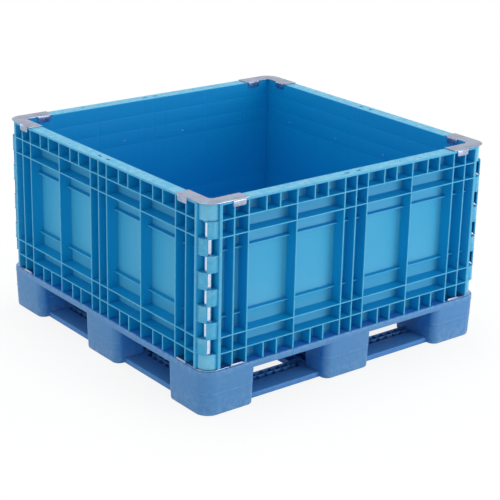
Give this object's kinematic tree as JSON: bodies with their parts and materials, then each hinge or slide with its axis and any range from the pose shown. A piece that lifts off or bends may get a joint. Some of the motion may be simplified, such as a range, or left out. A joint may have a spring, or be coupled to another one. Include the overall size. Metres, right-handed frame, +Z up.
{
  "type": "plastic pallet box",
  "caption": "Open-topped plastic pallet box with ribbed walls knuckled on steel corner rods, steel corner plates, and a four-way-entry pallet base.",
  "frame": {"origin": "centre of the footprint at floor level", "axes": "+Z up; -Y is the outward normal of the wall that shows wider in the picture, and -X that of the wall beside it at the near corner"},
  "size_m": [1.1, 1.1, 0.643],
  "materials": {
    "wall_plastic": "moulded polypropylene with a soft sheen",
    "block_plastic": "moulded polypropylene with a soft sheen",
    "pallet_plastic": "moulded polypropylene, fine matt grain",
    "rod_steel": "bright drawn bar",
    "plate_steel": "bright plated sheet, pressed"
  },
  "bodies": {
    "root": {"pallet_deck": "pallet_plastic", "pallet_base": "pallet_plastic", "wall_front": "wall_plastic", "wall_right": "wall_plastic", "wall_back": "wall_plastic", "wall_left": "wall_plastic", "corner_rod_front_left": "rod_steel", "top_block_front_left": "block_plastic", "bottom_block_front_left": "block_plastic", "top_cap_front_left": "plate_steel", "bottom_bracket_front_left": "plate_steel", "corner_rod_front_right": "rod_steel", "top_block_front_right": "block_plastic", "bottom_block_front_right": "block_plastic", "top_cap_front_right": "plate_steel", "bottom_bracket_front_right": "plate_steel", "corner_rod_back_right": "rod_steel", "top_block_back_right": "block_plastic", "bottom_block_back_right": "block_plastic", "top_cap_back_right": "plate_steel", "bottom_bracket_back_right": "plate_steel", "corner_rod_back_left": "rod_steel", "top_block_back_left": "block_plastic", "bottom_block_back_left": "block_plastic", "top_cap_back_left": "plate_steel", "bottom_bracket_back_left": "plate_steel"}
  },
  "joints": []
}
